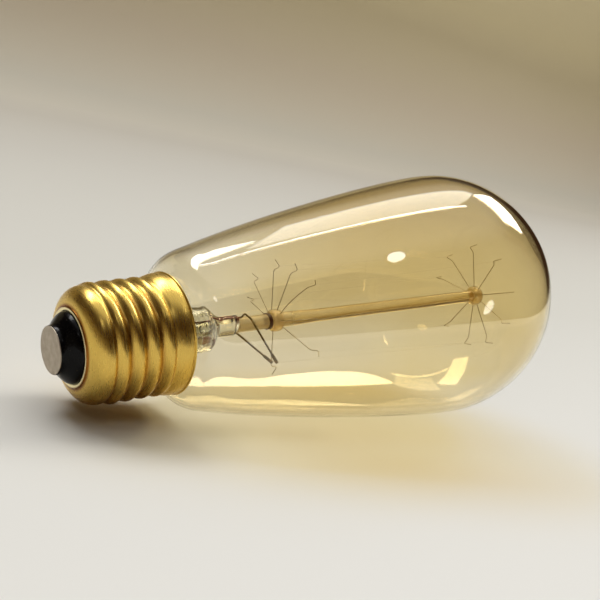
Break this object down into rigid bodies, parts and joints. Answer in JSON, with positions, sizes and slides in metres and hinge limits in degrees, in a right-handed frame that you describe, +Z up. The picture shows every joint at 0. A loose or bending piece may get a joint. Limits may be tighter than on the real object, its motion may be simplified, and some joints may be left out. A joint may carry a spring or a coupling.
{
  "type": "squirrel-cage filament lamp",
  "caption": "Clear-glass filament lamp with a tapering envelope, a brass screw cap and a zigzag filament on a caged glass rod, lying on its side.",
  "frame": {"origin": "centre of the bottom of the bounding box, on the surface that the lamp lies on", "axes": "+X from the cap towards the glass tip, level, as seen from above; +Z up; the lamp's own axis lies in the XZ plane and rises 10.8 degrees towards +X, as the lamp rests by itself"},
  "size_m": [0.14, 0.064, 0.0656],
  "materials": {
    "envelope_glass": "clear, faintly amber",
    "cap_brass": "rolled, satin",
    "black_glass": "glossy black",
    "tinned_brass": "tinned, satin",
    "cement": "matt, baked",
    "stem_glass": "clear",
    "rod_glass": "clear, amber",
    "dark_collar": "oxidised",
    "copper_wire": "dull copper",
    "seal_copper": "oxidised copper",
    "nickel_wire": "dull nickel",
    "solder": "satin tin solder",
    "tungsten": "matt grey",
    "hook_wire": "drawn molybdenum"
  },
  "bodies": {
    "root": {"glass_envelope": "envelope_glass", "screw_shell": "cap_brass", "base_insulator": "black_glass", "contact_plate": "tinned_brass", "capping_cement": "cement", "stem_flare": "stem_glass", "exhaust_tube": "stem_glass", "support_rod": "rod_glass", "rod_collar": "dark_collar", "lower_button": "rod_glass", "upper_button": "rod_glass", "outer_lead_centre": "copper_wire", "outer_lead_side": "copper_wire", "seal_wire_1": "seal_copper", "seal_wire_2": "seal_copper", "inner_lead_1": "nickel_wire", "inner_lead_2": "nickel_wire", "side_solder": "solder", "filament": "tungsten", "lower_hook_1": "hook_wire", "lower_hook_2": "hook_wire", "lower_hook_3": "hook_wire", "lower_hook_4": "hook_wire", "lower_hook_5": "hook_wire", "lower_hook_6": "hook_wire", "lower_hook_7": "hook_wire", "lower_hook_8": "hook_wire", "lower_hook_9": "hook_wire", "upper_hook_1": "hook_wire", "upper_hook_2": "hook_wire", "upper_hook_3": "hook_wire", "upper_hook_4": "hook_wire", "upper_hook_5": "hook_wire", "upper_hook_6": "hook_wire", "upper_hook_7": "hook_wire", "upper_hook_8": "hook_wire", "upper_hook_9": "hook_wire", "upper_hook_10": "hook_wire"}
  },
  "joints": []
}
